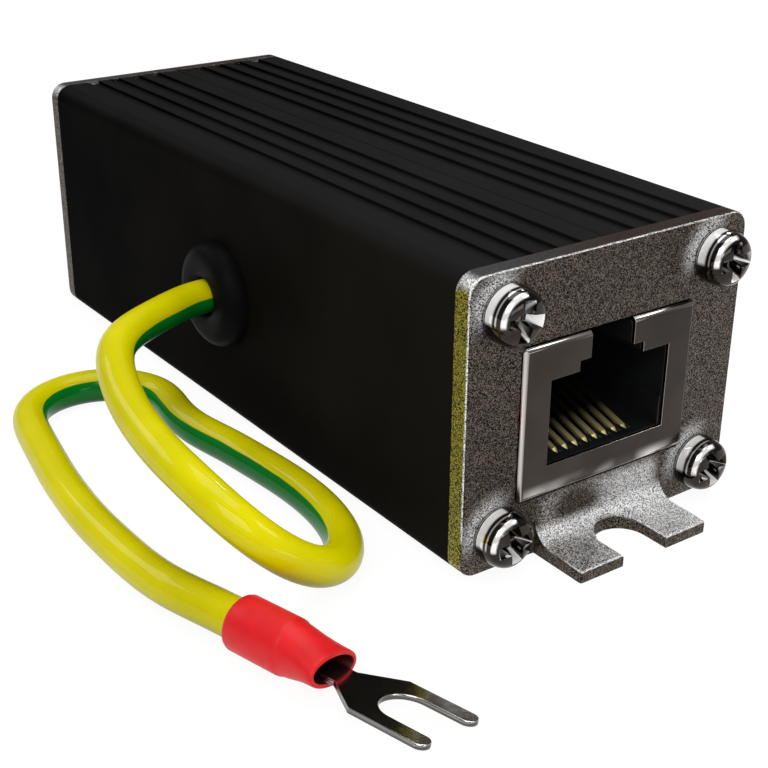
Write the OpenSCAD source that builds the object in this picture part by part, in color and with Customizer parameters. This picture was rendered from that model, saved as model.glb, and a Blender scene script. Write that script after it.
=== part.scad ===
// In-line surge protector for a shielded network cable.
// A fluted aluminium extrusion holds a circuit board with a socket at each end.
// A screwed end plate with a slotted foot closes each end, and an earth wire
// leaves the left side through a rubber grommet.
// X runs across, Y from the front plate to the rear one, Z up from the floor.

/* [Housing] */
// Width of the housing and of the end plates
body_w = 27.2; // [26.5:0.1:32]
// Height of the housing and of the end plates
body_h = 23.6; // [22.5:0.1:28]
// Length between the outer faces of the two end plates
body_l = 68.2; // [67.6:0.2:92]
// Wall of the housing
wall = 1.5; // [1.2:0.1:2]
// Radius of the long edges of the housing and the plates
edge_r = 1.5; // [0.8:0.1:2]
// Radius of the housing's inside corners
inner_r = 0.5; // [0.2:0.1:1.2]
// Number of flutes on each side of the middle of the top
flute_count = 4; // [1:1:4]
// Width of a flute
flute_w = 1.15; // [0.6:0.05:1.5]
// Depth of a flute
flute_d = 0.3; // [0.1:0.05:0.6]
// Distance from the middle to the centre of the first flute
flute_first = 2.6; // [2:0.05:3]
// Distance between the centres of two flutes
flute_pitch = 2.3; // [2:0.05:2.4]
// Width of the fine groove along the middle of the top
crease_w = 0.2; // [0.1:0.05:0.5]
// Width of the ledges that the circuit board lies on
ledge_w = 1.3; // [0.8:0.1:1.6]

/* [End plates] */
// Thickness of an end plate
plate_t = 1.5; // [1:0.1:2.5]
// Width of the foot
foot_w = 13; // [10:0.1:14]
// Distance that the foot stands out of the plate
foot_out = 5.3; // [4.4:0.1:9]
// Thickness of the foot
foot_t = 1; // [0.8:0.05:1.5]
// Radius of the foot's outer corners
foot_r = 0.2; // [0.1:0.05:1]
// Radius of the fillet between foot and plate
foot_fillet = 2; // [0.5:0.1:2]
// Width of the slot for a fixing screw
slot_w = 4.5; // [3.2:0.1:5]
// Distance from the plate's outer face to the slot's closed end
slot_start = 0.65; // [0.3:0.05:1.5]

/* [Plate screws] */
// Distance from a screw's axis to the side of the plate
screw_side = 3.3; // [3:0.05:3.4]
// Distance from a screw's axis to the top or bottom of the plate
screw_edge = 3.05; // [2.8:0.05:3.3]
// Diameter of a screw head
head_d = 4.3; // [3.6:0.1:4.6]
// Height of a screw head
head_h = 2.4; // [1.6:0.1:2.8]
// Radius of the rounded edge of a screw head
head_round = 1; // [0.4:0.1:1.4]
// Width of the cross recess from tip to tip
recess_w = 3.3; // [2:0.1:3.4]
// Width of one wing of the cross recess
recess_wing = 0.95; // [0.5:0.05:1]
// Depth of the cross recess
recess_d = 1.3; // [0.8:0.1:1.5]
// Diameter of a screw's shank
shank_d = 2; // [1.8:0.1:2.4]
// Length of a screw under its head
shank_l = 9; // [6:0.5:14]
// Outside diameter of a screw channel in the housing
channel_d = 4.4; // [4:0.1:4.4]
// Width of the slot along a screw channel
channel_slot = 0.9; // [0.5:0.1:1.2]

/* [Socket shield] */
// Width of a socket
jack_w = 17.1; // [15.6:0.1:17.2]
// Height of a socket
jack_h = 12.5; // [12.2:0.1:13.2]
// Length of a socket
jack_l = 17.5; // [16.5:0.1:18]
// Distance that the shield stands out of the end plate
jack_proud = 0.3; // [0.1:0.05:0.8]
// Thickness of the shield's sheet
shield_t = 0.3; // [0.2:0.05:0.35]
// Outside radius of the shield's bends
shield_r = 0.5; // [0.4:0.05:0.8]
// Width of the shield's bottom flanges
flange_w = 3.2; // [2.9:0.1:3.3]
// Length of the notch that the latch slot makes in the shield's top
notch_l = 3; // [1:0.1:5]
// Width of a shield leg
leg_w = 1.5; // [1:0.1:2]

/* [Socket opening] */
// Width of the opening for a plug
port_w = 11.9; // [11.7:0.05:12.2]
// Height of the opening for a plug
port_h = 6.95; // [6.8:0.05:7.2]
// Height of the opening's floor above the socket's underside
port_floor = 2.55; // [2.4:0.05:2.8]
// Width of the upper step of the opening
step_w = 6.4; // [6:0.1:6.8]
// Height of the upper step
step_h = 0.85; // [0.5:0.05:1.2]
// Width of the latch slot above the step
latch_w = 4.3; // [4.1:0.05:4.8]
// Length of the latch slot inside the insert
latch_l = 8; // [6:0.1:10]
// Depth of the opening
port_l = 14; // [13:0.1:14.6]
// Distance that the lower guide on each side stands into the opening
guide_in = 0.2; // [0.1:0.05:0.3]
// Height of the lower guides
guide_h = 2.4; // [1.5:0.1:3]

/* [Socket contacts] */
// Distance between two contact wires
contact_pitch = 1.02; // [0.98:0.01:1.06]
// Width of a contact wire
contact_w = 0.45; // [0.3:0.05:0.5]
// Thickness of a contact wire
contact_t = 0.3; // [0.2:0.05:0.35]
// Distance from the socket's face to where a wire leaves the floor
contact_start = 2.2; // [2:0.1:3]
// Angle at which the wires rise towards the back
contact_rise = 17; // [12:1:19]

/* [Circuit board] */
// Height of the board's underside above the floor
board_z = 3.25; // [3:0.05:3.5]
// Thickness of the board
board_t = 1.6; // [1.4:0.1:1.8]
// Length of the legs and pins below the board
leg_below = 0.9; // [0.5:0.1:1]
// Diameter of a gas discharge tube
tube_d = 4.6; // [4:0.1:4.8]
// Length of a gas discharge tube
tube_l = 7.6; // [6:0.1:9]
// Gap between a socket and the tube beside it
tube_to_socket = 1.2; // [0.6:0.1:1.4]
// Gap between two tubes
tube_gap = 0.4; // [0.2:0.1:0.6]
// Length of a diode array's case
diode_l = 4.9; // [4:0.1:5]
// Width of a diode array's case
diode_w = 3.9; // [3:0.1:4.2]
// Height of a diode array's case
diode_h = 1.45; // [1:0.05:2]
// Diameter of the earth post
post_d = 3; // [2.4:0.1:3.4]

/* [Grommet and earth wire] */
// Diameter of the grommet's outer flange
grommet_d = 9.4; // [8:0.1:12]
// Height of the grommet's outer flange
grommet_h = 2; // [1.7:0.1:2.4]
// Radius of the outer flange's rounded edge
grommet_round = 1.5; // [0.5:0.1:1.6]
// Diameter of the grommet's neck in the wall
neck_d = 6; // [4.6:0.1:7]
// Thickness of the grommet's inner flange
inner_flange_t = 0.9; // [0.6:0.1:1.2]
// Diameter of the earth wire
wire_d = 3; // [2.4:0.1:3]
// Diameter of the wire's bare strands
core_d = 1.6; // [1.2:0.1:1.7]

/* [Fork terminal] */
// Diameter of the sleeve
sleeve_d = 4.1; // [3.8:0.1:4.2]
// Length of the sleeve's round part
sleeve_round_l = 4.7; // [4.2:0.1:5]
// Length of the whole sleeve
sleeve_l = 8.3; // [7.6:0.1:9]
// Width of the sleeve's flattened mouth
mouth_w = 4.7; // [4.4:0.05:5.2]
// Height of the sleeve's flattened mouth
mouth_h = 2.5; // [2.4:0.05:3]
// Wall of the sleeve at its mouth
mouth_wall = 0.4; // [0.3:0.05:0.45]
// Angle that the terminal is turned about its own axis, its left prong raised
terminal_roll = 14; // [0:1:20]
// Thickness of the fork
fork_t = 0.4; // [0.3:0.05:0.5]
// Width of the tongue between sleeve and fork
tongue_w = 2.3; // [1.8:0.1:2.4]
// Width over both prongs
fork_w = 6.3; // [5.6:0.1:6.6]
// Width of the gap between the prongs
fork_gap = 3.6; // [3.2:0.1:3.8]
// Distance from the sleeve's start to the closed end of the gap
fork_gap_start = 12.5; // [12.2:0.1:13.2]
// Distance from the sleeve's start to the tips of the prongs
fork_end = 17.9; // [16.5:0.1:20]

/* [Hidden] */
$fn = 48;

// How far a cutting shape reaches past the face that it cuts
past = 1;
// Gap round the socket in the end plate's cut-out
cutout_gap = 0.1;
// Gap round the insert in its shield
insert_gap = 0.05;
// Gap on each side of a contact wire in its groove
groove_gap = 0.05;
// Radial gap round a shank, a pin or a leg in its hole
pin_gap = 0.1;
// Radial gap round the bare strands, the wire, the neck and the shanks in their bores
bore_gap = 0.05;
// Gap between the board and each end plate
board_end_gap = 0.3;
// Gap between the board and each screw channel
board_side_gap = 0.4;

// Front face and screw places
front_y = -body_l / 2;
screw_x = body_w / 2 - screw_side;
channel_r = channel_d / 2;
shank_r = shank_d / 2;
head_r = head_d / 2;

// Board and socket places
board_top = board_z + board_t;
board_w = 2 * (screw_x - channel_r - board_side_gap);
board_l = body_l - 2 * plate_t - 2 * board_end_gap;
jack_y = front_y - jack_proud;
pins_z = -board_t - leg_below;

// The insert seats on the shield's flanges and against the shield's face
insert_w = jack_w - 2 * shield_t - 2 * insert_gap;
insert_h = jack_h - 2 * shield_t - insert_gap;
insert_l = jack_l - 2 * shield_t - insert_gap;
insert_top = shield_t + insert_h;
step_top = port_floor + port_h + step_h;

// Shield legs and the insert's pegs, measured in the socket's own frame
leg_x = jack_w / 2 - flange_w + 0.6;
leg_y = 4;
peg_x = 4.2;
peg_y = 9;
peg_r = 0.8;

// Contact wires, measured in the socket's own frame
contact_count = 8;
groove_w = contact_w + 2 * groove_gap;
groove_front = contact_start - 1;
groove_floor = 0.95;
wire_run_z = groove_floor + contact_t / 2 + 0.15;
bend_y = groove_front + 0.4;
comb_l = 1.6;
comb_top = 7.8;
contact_end = port_l + 0.8;
pin_row_1 = 13.4;
pin_row_2 = 10.86;
pin_hole_r = 0.4;

// Gas discharge tubes and their legs: the outer ones lie behind the sockets
tube_outer = -jack_y - jack_l - tube_to_socket - tube_d / 2;
tube_inner = tube_outer - tube_d - tube_gap;
tube_lift = 0.4;
tube_band_l = 0.9;
tube_leg_r = 0.4;
tube_leg_x = tube_l / 2 - tube_band_l / 2;

// Diode arrays and their legs
diode_lift = 0.1;
diode_pitch = 1.2;
diode_leg_w = 0.4;
diode_leg_t = 0.2;
diode_foot = 0.6;
diode_reach = 1.05;
diode_gap = 0.9;

// The wire's route, measured across from the housing's left face: out of the grommet,
// round a loop in front, back along the floor, round a loop behind and forward again
// into the sleeve. Sideways, lengthways and height of each point.
hole_z = body_h / 2;
lying = wire_d / 2;
sleeve_z = sleeve_d / 2;
route_from_face = [
    [4, 0, hole_z], [0.5, 0, hole_z], [-3, 0.3, hole_z], [-6.9, -1.5, hole_z],
    [-10.3, -3.2, hole_z], [-13.1, -5.8, 11.9], [-14.7, -9.3, 11.3], [-15.6, -13, 10.4],
    [-16.1, -16.7, 9.9], [-16.5, -20.5, 9.7], [-16.5, -24.4, 9.4], [-15.8, -28, 8.2],
    [-13.9, -30.7, 6], [-10.9, -31.4, 3.6], [-7.6, -29.9, 2.1], [-5.1, -26.9, lying],
    [-3.9, -23.1, lying], [-3.5, -19.3, lying], [-3.6, -15.4, lying], [-4, -11.6, lying],
    [-4.4, -7.7, lying], [-5.2, -3.9, lying], [-5.1, -0.1, lying], [-4, 4, lying],
    [-5.6, 7.8, lying], [-9.1, 10, lying], [-13.1, 9.7, lying], [-16.2, 7.1, lying],
    [-17.1, 2.7, lying], [-17.8, -1.2, lying], [-18.5, -5.1, lying], [-19, -9.1, lying],
    [-19.3, -13.1, lying], [-19.3, -17.1, lying], [-19.2, -21, lying], [-19, -25.1, sleeve_z - 0.2],
    [-17.9, -29.1, sleeve_z], [-17.11, -31.98, sleeve_z], [-16.33, -34.9, sleeve_z]
];
ROUTE = [for (p = route_from_face) p - [body_w / 2, 0, 0]];
route_last = len(ROUTE) - 1;
wire_sides = 8;

// The grommet stands round the wire's straight start
grommet_y = ROUTE[0][1];
grommet_z = ROUTE[0][2];

// The post stands where the bare strands reach it
core_bare = 2.7;
post_x = ROUTE[0][0] + core_bare + post_d / 2;
post_flange_r = post_d / 2 + 0.7;
post_pin_r = 0.7;
post_above = 1.8;
core_past_post = 0.4;

// The diode arrays lie one behind the other between the post and the board's right edge
diode_x = (post_x + post_flange_r + board_w / 2) / 2;
diode_y = (diode_l + diode_gap) / 2;

// The sleeve's frame: the wire's end lies a little way inside it, on its axis
wire_in_sleeve = 3;
route_end = ROUTE[route_last];
end_step = route_end - ROUTE[route_last - 1];
end_dir = end_step / norm(end_step);
sleeve_at = route_end - wire_in_sleeve * end_dir;
sleeve_turn = atan2(end_dir[1], end_dir[0]);
sleeve_stop = wire_in_sleeve + 0.3;
barrel_r = core_d / 2 + bore_gap + 0.4;
barrel_end = 6.2;
tongue_start = 5.9;
core_end = 5.8;
tongue_z = -0.25;
neck_in = 0.12;
flare_start = sleeve_l + 1;
shoulder_at = fork_gap_start - 0.4;
prong_w = (fork_w - fork_gap) / 2;
sleeve_sides = 24;

// A rectangle with round corners
module round_rect(w, h, r) {
    square([w - 2 * r, h], center = true);
    square([w, h - 2 * r], center = true);
    for (x = [r - w / 2, w / 2 - r]) {
        for (y = [r - h / 2, h / 2 - r]) {
            translate([x, y]) circle(r);
        }
    }
}

// An outline drawn in X and Z, carried along Y from one place to another
module along_y(from, to) {
    translate([0, to, 0])
        rotate([90, 0, 0])
            linear_extrude(to - from)
                children();
}

// An outline drawn in Y and Z, centred on x and carried along X
module across_x(x, w) {
    translate([x - w / 2, 0, 0])
        rotate([90, 0, 90])
            linear_extrude(w)
                children();
}

// A box on height 0 behind y = 0, with all its edges rounded
module soft_box(w, l, h, r) {
    intersection() {
        along_y(0, l) translate([0, h / 2]) round_rect(w, h, r);
        across_x(0, w) translate([l / 2, h / 2]) round_rect(l, h, r);
        translate([0, l / 2, 0]) linear_extrude(h) round_rect(w, l, r);
    }
}

// What is drawn at the front end, at the front or turned round to the rear
module at_end(rear) {
    rotate([0, 0, rear ? 180 : 0])
        children();
}

// The four screw places, in X and Z
module at_screws() {
    for (x = [-screw_x, screw_x]) {
        for (z = [screw_edge, body_h - screw_edge]) {
            translate([x, z]) children();
        }
    }
}

// The outline that the housing and both end plates share
module body_outline() {
    translate([0, body_h / 2]) round_rect(body_w, body_h, edge_r);
}

// Flutes and the middle groove of the top
module flutes() {
    for (side = [-1, 1]) {
        for (i = [0 : flute_count - 1]) {
            translate([side * (flute_first + i * flute_pitch) - flute_w / 2, body_h - flute_d])
                square([flute_w, flute_d + past]);
        }
    }
    translate([0, body_h]) rotate(45) square(crease_w / sqrt(2), center = true);
}

// Section of the extrusion, with its screw channels and board ledges
module housing_section() {
    channel_bore = shank_r + bore_gap;
    slot_l = channel_r + past;
    ledge_x = board_w / 2 - ledge_w;
    difference() {
        union() {
            difference() {
                body_outline();
                translate([0, body_h / 2])
                    round_rect(body_w - 2 * wall, body_h - 2 * wall, inner_r);
            }
            intersection() {
                body_outline();
                at_screws() circle(channel_r);
            }
            for (side = [-1, 1]) {
                translate([side < 0 ? -screw_x : ledge_x, wall / 2])
                    square([screw_x - ledge_x, board_z - wall / 2]);
            }
        }
        at_screws() circle(channel_bore);
        for (x = [-screw_x, screw_x]) {
            translate([x - channel_slot / 2, screw_edge]) square([channel_slot, slot_l]);
            translate([x - channel_slot / 2, body_h - screw_edge - slot_l])
                square([channel_slot, slot_l]);
        }
        flutes();
    }
}

module housing() {
    color([0.09, 0.09, 0.1])
        difference() {
            along_y(front_y + plate_t, -front_y - plate_t) housing_section();
            translate([-body_w / 2 - past, grommet_y, grommet_z])
                rotate([0, 90, 0])
                    cylinder(r = neck_d / 2 + bore_gap, h = wall + 2 * past);
        }
}

// Flat foot with its outer corners rounded, and the fillet at its root
module foot() {
    translate([0, front_y, 0])
        linear_extrude(foot_t)
            difference() {
                translate([0, -foot_out / 2 + foot_r]) round_rect(foot_w, foot_out + 2 * foot_r, foot_r);
                translate([-foot_w, 0]) square([2 * foot_w, past]);
            }
    across_x(0, foot_w)
        translate([front_y, foot_t])
            difference() {
                translate([-foot_fillet, -foot_t / 2]) square([foot_fillet, foot_fillet + foot_t / 2]);
                translate([-foot_fillet, foot_fillet]) circle(foot_fillet);
            }
}

module end_plate() {
    slot_r = slot_w / 2;
    slot_y = front_y - slot_start - slot_r;
    slot_h = foot_t + foot_fillet + 2 * past;
    color([0.45, 0.43, 0.42])
        difference() {
            union() {
                along_y(front_y, front_y + plate_t) body_outline();
                foot();
            }
            along_y(front_y - past, front_y + plate_t + past) {
                translate([0, board_top + jack_h / 2])
                    round_rect(jack_w + 2 * cutout_gap, jack_h + 2 * cutout_gap, shield_r + cutout_gap);
                at_screws() circle(shank_r + pin_gap);
            }
            translate([0, slot_y, -past]) cylinder(r = slot_r, h = slot_h);
            translate([-slot_r, slot_y - foot_out - past, -past])
                cube([slot_w, foot_out + past, slot_h]);
        }
}

// Pan head screw with a cross recess, its head's underside at height 0
module plate_screw() {
    difference() {
        union() {
            rotate_extrude() {
                square([head_r - head_round, head_h]);
                square([head_r, head_h - head_round]);
                intersection() {
                    translate([head_r - head_round, head_h - head_round]) circle(head_round);
                    square([head_r, head_h]);
                }
            }
            translate([0, 0, -shank_l]) cylinder(r = shank_r, h = shank_l + head_h / 4);
        }
        for (turn = [0, 90]) {
            rotate(turn)
                translate([-recess_w / 2, -recess_wing / 2, head_h - recess_d])
                    cube([recess_w, recess_wing, recess_d + past]);
        }
        translate([0, 0, head_h - recess_d]) cylinder(r = recess_wing, h = recess_d + past);
    }
}

module plate_screws() {
    color([0.8, 0.8, 0.82])
        for (x = [-screw_x, screw_x]) {
            for (z = [screw_edge, body_h - screw_edge]) {
                translate([x, front_y, z]) rotate([90, 45, 0]) plate_screw();
            }
        }
}

// Places a socket part drawn in the socket's own frame: Y from its face back, Z from its underside
module at_jack(rear) {
    at_end(rear)
        translate([0, jack_y, board_top])
            children();
}

// Outline of the opening for a plug: the port, the step above it and the latch slot
module port_outline(top) {
    translate([-port_w / 2, port_floor]) square([port_w, port_h]);
    translate([-step_w / 2, port_floor]) square([step_w, port_h + step_h]);
    translate([-latch_w / 2, port_floor]) square([latch_w, top - port_floor]);
}

// Folded shell: four sides, a face with the opening, a closed back and two soldered legs
module jack_shield() {
    color([0.5, 0.48, 0.46]) {
        difference() {
            soft_box(jack_w, jack_l, jack_h, shield_r);
            translate([0, shield_t, shield_t])
                soft_box(
                    jack_w - 2 * shield_t,
                    jack_l - 2 * shield_t,
                    jack_h - 2 * shield_t,
                    shield_r - shield_t
                );
            along_y(-past, shield_t + past) port_outline(jack_h + past);
            translate([-latch_w / 2, -past, jack_h / 2])
                cube([latch_w, notch_l + past, jack_h]);
            translate([flange_w - jack_w / 2, shield_t, -past])
                cube([jack_w - 2 * flange_w, jack_l, shield_t + past]);
        }
        for (x = [-leg_x, leg_x]) {
            translate([x - shield_t / 2, leg_y, pins_z])
                cube([shield_t, leg_w, -pins_z + shield_t / 2]);
        }
    }
}

// Moulded insert: the port with side guides, the latch slot and a groove and comb slot per wire
module jack_body() {
    color([0.07, 0.07, 0.08])
        difference() {
            union() {
                translate([0, shield_t, shield_t]) soft_box(insert_w, insert_l, insert_h, shield_r);
                for (x = [-peg_x, peg_x]) {
                    translate([x, peg_y, -board_t + pin_gap])
                        cylinder(r = peg_r, h = board_t + port_floor / 2);
                }
            }
            difference() {
                along_y(-past, port_l) port_outline(step_top);
                for (side = [-1, 1]) {
                    translate([side * port_w / 2 - guide_in, 0, port_floor - past])
                        cube([2 * guide_in, port_l + past, guide_h + past]);
                }
            }
            along_y(-past, latch_l) {
                translate([-latch_w / 2, port_floor + port_h])
                    square([latch_w, jack_h]);
            }
            each_contact() {
                translate([-groove_w / 2, groove_front, groove_floor])
                    cube([groove_w, port_l + comb_l - groove_front, port_floor - groove_floor + past / 2]);
                translate([-groove_w / 2, port_l - past, groove_floor])
                    cube([groove_w, comb_l + past, comb_top - groove_floor]);
                translate([-groove_w / 2, pin_y($row) - contact_t / 2 - groove_gap, -past])
                    cube([groove_w, contact_t + 2 * groove_gap, groove_floor + 2 * past]);
            }
        }
}

// Two staggered rows of pins
function pin_y(row) = row == 0 ? pin_row_1 : pin_row_2;

module each_contact() {
    for (i = [0 : contact_count - 1]) {
        $row = i % 2;
        translate([(i - (contact_count - 1) / 2) * contact_pitch, 0, 0])
            children();
    }
}

// One stretch of flat wire between two points, with a round end
module stretch(a, b, t) {
    d = b - a;
    translate(a) rotate(atan2(d[1], d[0])) translate([0, -t / 2]) square([norm(d), t]);
    translate(b) circle(t / 2, $fn = 24);
}

// Side view of a contact: pin, run under the floor, bend at the front and rise to the comb
module contact_line(row) {
    rise_end = port_floor + (contact_end - contact_start) * tan(contact_rise);
    points = [
        [pin_y(row), pins_z],
        [pin_y(row), wire_run_z],
        [bend_y, wire_run_z],
        [bend_y - 0.15, (wire_run_z + port_floor) / 2],
        [contact_start - 0.25, port_floor - 0.1],
        [contact_end, rise_end]
    ];
    for (i = [1 : len(points) - 1]) {
        stretch(points[i - 1], points[i], contact_t);
    }
}

module jack_contacts() {
    color([0.9, 0.72, 0.3])
        each_contact()
            across_x(0, contact_w) contact_line($row);
}

// Board with holes for the pins, legs and pegs of all that stands on it
module circuit_board() {
    color([0.1, 0.4, 0.2])
        difference() {
            translate([0, 0, board_z + board_t / 2])
                cube([board_w, board_l, board_t], center = true);
            translate([0, 0, board_z - past]) {
                board_holes();
            }
        }
}

module board_holes() {
    h = board_t + 2 * past;
    for (rear = [false, true]) {
        at_end(rear)
            translate([0, jack_y, 0]) {
                each_contact() {
                    translate([0, pin_y($row), 0]) cylinder(r = pin_hole_r, h = h);
                }
                for (x = [-1, 1]) {
                    translate([x * peg_x, peg_y, 0]) cylinder(r = peg_r + pin_gap, h = h);
                    translate([x * leg_x - shield_t / 2 - pin_gap, leg_y - pin_gap, 0])
                        cube([shield_t + 2 * pin_gap, leg_w + 2 * pin_gap, h]);
                }
            }
    }
    for (i = [1 : 4]) {
        for (x = [-tube_leg_x, 0, tube_leg_x]) {
            translate([x, tube_y(i), 0]) cylinder(r = tube_leg_r + pin_gap, h = h);
        }
    }
    translate([post_x, grommet_y, 0]) cylinder(r = post_pin_r + pin_gap, h = h);
}

// Tubes 1 and 2 lie before the middle, 3 and 4 behind it
function tube_y(i) = (i < 3 ? -1 : 1) * (i == 1 || i == 4 ? tube_outer : tube_inner);

// Three-pole gas discharge tube: ceramic body, three metal bands and three legs
module gas_tube(i) {
    color([0.85, 0.83, 0.78])
        translate([0, tube_y(i), board_top + tube_lift + tube_d / 2]) {
            across_x(0, tube_l) circle(tube_d / 2 - 0.2);
            for (x = [-tube_leg_x, 0, tube_leg_x]) {
                across_x(x, tube_band_l) circle(tube_d / 2);
                leg_l = tube_d / 2 + tube_lift - pins_z;
                translate([x, 0, -leg_l]) cylinder(r = tube_leg_r, h = leg_l);
            }
        }
}

// Flat diode array with four bent legs on each long side
module diode_array(end) {
    color([0.12, 0.12, 0.13])
        translate([diode_x, end * diode_y, board_top]) {
            translate([-diode_w / 2, -diode_l / 2, diode_lift])
                cube([diode_w, diode_l, diode_h]);
            for (side = [90, 270]) {
                for (k = [-1.5 : 1 : 1.5]) {
                    rotate(side)
                        across_x(k * diode_pitch, diode_leg_w)
                            translate([diode_w / 2, 0])
                                diode_leg();
                }
            }
        }
}

module diode_leg() {
    shoulder = diode_reach - diode_foot;
    mid = diode_lift + diode_h / 2;
    translate([-diode_leg_t, mid]) square([shoulder + diode_leg_t, diode_leg_t]);
    translate([shoulder - diode_leg_t, 0]) square([diode_leg_t, mid + diode_leg_t]);
    translate([shoulder - diode_leg_t, 0]) square([diode_foot + diode_leg_t, diode_leg_t]);
}

// Turned brass post with a cross bore for the earth wire's bare end
module earth_post() {
    color([0.8, 0.65, 0.3])
        difference() {
            translate([post_x, grommet_y, 0]) {
                translate([0, 0, board_top + pins_z]) cylinder(r = post_pin_r, h = board_t - pins_z);
                translate([0, 0, board_top]) cylinder(r = post_flange_r, h = 0.6);
                translate([0, 0, board_top])
                    cylinder(r = post_d / 2, h = grommet_z + post_above - board_top);
            }
            translate([post_x, grommet_y, grommet_z])
                rotate([0, 90, 0])
                    cylinder(r = core_d / 2 + bore_gap, h = 2 * post_d, center = true);
        }
}

// Rubber bush: rounded outer flange, neck through the wall and inner flange
module grommet() {
    flange_r = grommet_d / 2;
    bore_r = wire_d / 2 + pin_gap;
    inner_r_flange = neck_d / 2 + 0.8;
    color([0.13, 0.13, 0.14])
        translate([-body_w / 2, grommet_y, grommet_z])
            rotate([0, -90, 0])
                difference() {
                    rotate_extrude() {
                        square([flange_r - grommet_round, grommet_h]);
                        square([flange_r, grommet_h - grommet_round]);
                        intersection() {
                            translate([flange_r - grommet_round, grommet_h - grommet_round])
                                circle(grommet_round);
                            square([flange_r, grommet_h]);
                        }
                        translate([0, -wall]) square([neck_d / 2, wall + grommet_h / 2]);
                        translate([0, -wall - inner_flange_t])
                            square([inner_r_flange, inner_flange_t]);
                    }
                    translate([0, 0, -wall - inner_flange_t - past])
                        cylinder(r = bore_r, h = wall + inner_flange_t + grommet_h + 2 * past);
                }
}

// Route point i, eased between its neighbours so that the wire bends smoothly
function eased(i) =
    i == 0 || i == route_last ? ROUTE[i] : (ROUTE[i - 1] + 4 * ROUTE[i] + ROUTE[i + 1]) / 6;

// Direction of the wire at route point i
function heading(i) =
    let (d = ROUTE[min(i + 1, route_last)] - ROUTE[max(i - 1, 0)])
    d / norm(d);

// Corners of the wire's cross-section at route point i
function wire_ring(i) =
    let (along = heading(i))
    let (flat = cross(along, [0, 0, 1]))
    let (side = flat / norm(flat))
    let (up = cross(side, along))
    [for (k = [0 : wire_sides - 1])
        let (a = 360 * k / wire_sides)
        eased(i) + wire_d / 2 * (cos(a) * side + sin(a) * up)];

// Side faces between ring a and the next, each split in two triangles
function skin(rings, sides) = [
    for (a = [0 : rings - 2])
        for (k = [0 : sides - 1])
            let (n = (k + 1) % sides)
            for (t = [0, 1])
                t == 0
                    ? [a * sides + k, a * sides + n, (a + 1) * sides + n]
                    : [a * sides + k, (a + 1) * sides + n, (a + 1) * sides + k]
];

module earth_wire() {
    last = route_last * wire_sides;
    points = [for (i = [0 : route_last]) each wire_ring(i)];
    start_cap = [for (k = [wire_sides - 1 : -1 : 0]) k];
    end_cap = [for (k = [0 : wire_sides - 1]) last + k];
    color([0.85, 0.82, 0.08])
        polyhedron(points, concat(skin(route_last + 1, wire_sides), [start_cap, end_cap]));
}

// Bare strands between the wire's inner end and the post
module board_end_core() {
    core_l = post_x + post_d / 2 + core_past_post - ROUTE[0][0];
    color([0.85, 0.5, 0.3])
        translate(ROUTE[0])
            rotate([0, 90, 0])
                cylinder(r = core_d / 2, h = core_l);
}

// Places a terminal part drawn along X from the sleeve's start
module at_terminal() {
    translate(sleeve_at)
        rotate([0, 0, sleeve_turn])
            rotate([-terminal_roll, 0, 0])
                children();
}

// Bare strands in the crimped barrel
module terminal_end_core() {
    color([0.85, 0.5, 0.3])
        at_terminal()
            translate([wire_in_sleeve, 0, 0])
                rotate([0, 90, 0])
                    cylinder(r = core_d / 2, h = core_end - wire_in_sleeve);
}

// Oval ring across X: place, half width and half height
function oval(s) = [
    for (k = [0 : sleeve_sides - 1])
        let (a = 360 * k / sleeve_sides)
        [s[0], s[1] * cos(a), s[2] * sin(a)]
];

// Plastic sleeve: a round barrel that necks in and flattens to an oval mouth.
// The sections go along the outside to the mouth and back along the inside.
module terminal_sleeve() {
    r = sleeve_d / 2;
    neck_r = r - neck_in;
    wire_r = wire_d / 2 + bore_gap;
    fit_r = barrel_r + bore_gap;
    bell_l = sleeve_l - sleeve_round_l;
    w = mouth_w / 2;
    h = mouth_h / 2;
    sections = [
        [0.2, r, r],
        [sleeve_round_l - 0.2, r, r],
        [sleeve_round_l, r - neck_in / 3, r - neck_in / 3],
        [sleeve_round_l + 0.2, neck_r, neck_r],
        [sleeve_round_l + 0.3 * bell_l, neck_r, (2 * neck_r + h) / 3],
        [sleeve_round_l + 0.6 * bell_l, (neck_r + w) / 2, (neck_r + 2 * h) / 3],
        [sleeve_l - 0.15, w, h],
        [sleeve_l, w - 0.12, h - 0.12],
        [sleeve_l, w - mouth_wall, h - mouth_wall - 0.15],
        [sleeve_l - 0.8, w - mouth_wall, h - mouth_wall],
        [barrel_end, fit_r, fit_r],
        [sleeve_stop, fit_r, fit_r],
        [sleeve_stop, wire_r, wire_r],
        [0, wire_r, wire_r],
        [0, r - 0.2, r - 0.2]
    ];
    count = len(sections);
    points = [for (s = sections) each oval(s)];
    closing = [
        for (k = [0 : sleeve_sides - 1])
            let (n = (k + 1) % sleeve_sides)
            let (b = (count - 1) * sleeve_sides)
            for (t = [0, 1])
                t == 0 ? [b + k, b + n, n] : [b + k, n, k]
    ];
    color([0.9, 0.15, 0.18])
        at_terminal()
            polyhedron(points, concat(skin(count, sleeve_sides), closing));
}

// Outline of the tongue and the fork from above: a narrow neck that flares to the shoulders
module fork_outline() {
    half = fork_w / 2;
    gap_r = fork_gap / 2;
    gap_x = fork_gap_start + gap_r;
    tip_r = prong_w / 2;
    difference() {
        union() {
            polygon([
                [tongue_start, -tongue_w / 2],
                [flare_start, -tongue_w / 2],
                [shoulder_at, -half],
                [fork_end - tip_r, -half],
                [fork_end - tip_r, half],
                [shoulder_at, half],
                [flare_start, tongue_w / 2],
                [tongue_start, tongue_w / 2]
            ]);
            for (y = [tip_r - half, half - tip_r]) {
                translate([fork_end - tip_r, y]) circle(tip_r);
            }
        }
        translate([gap_x, 0]) circle(gap_r);
        translate([gap_x, -gap_r]) square([fork_end, fork_gap]);
    }
}

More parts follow.
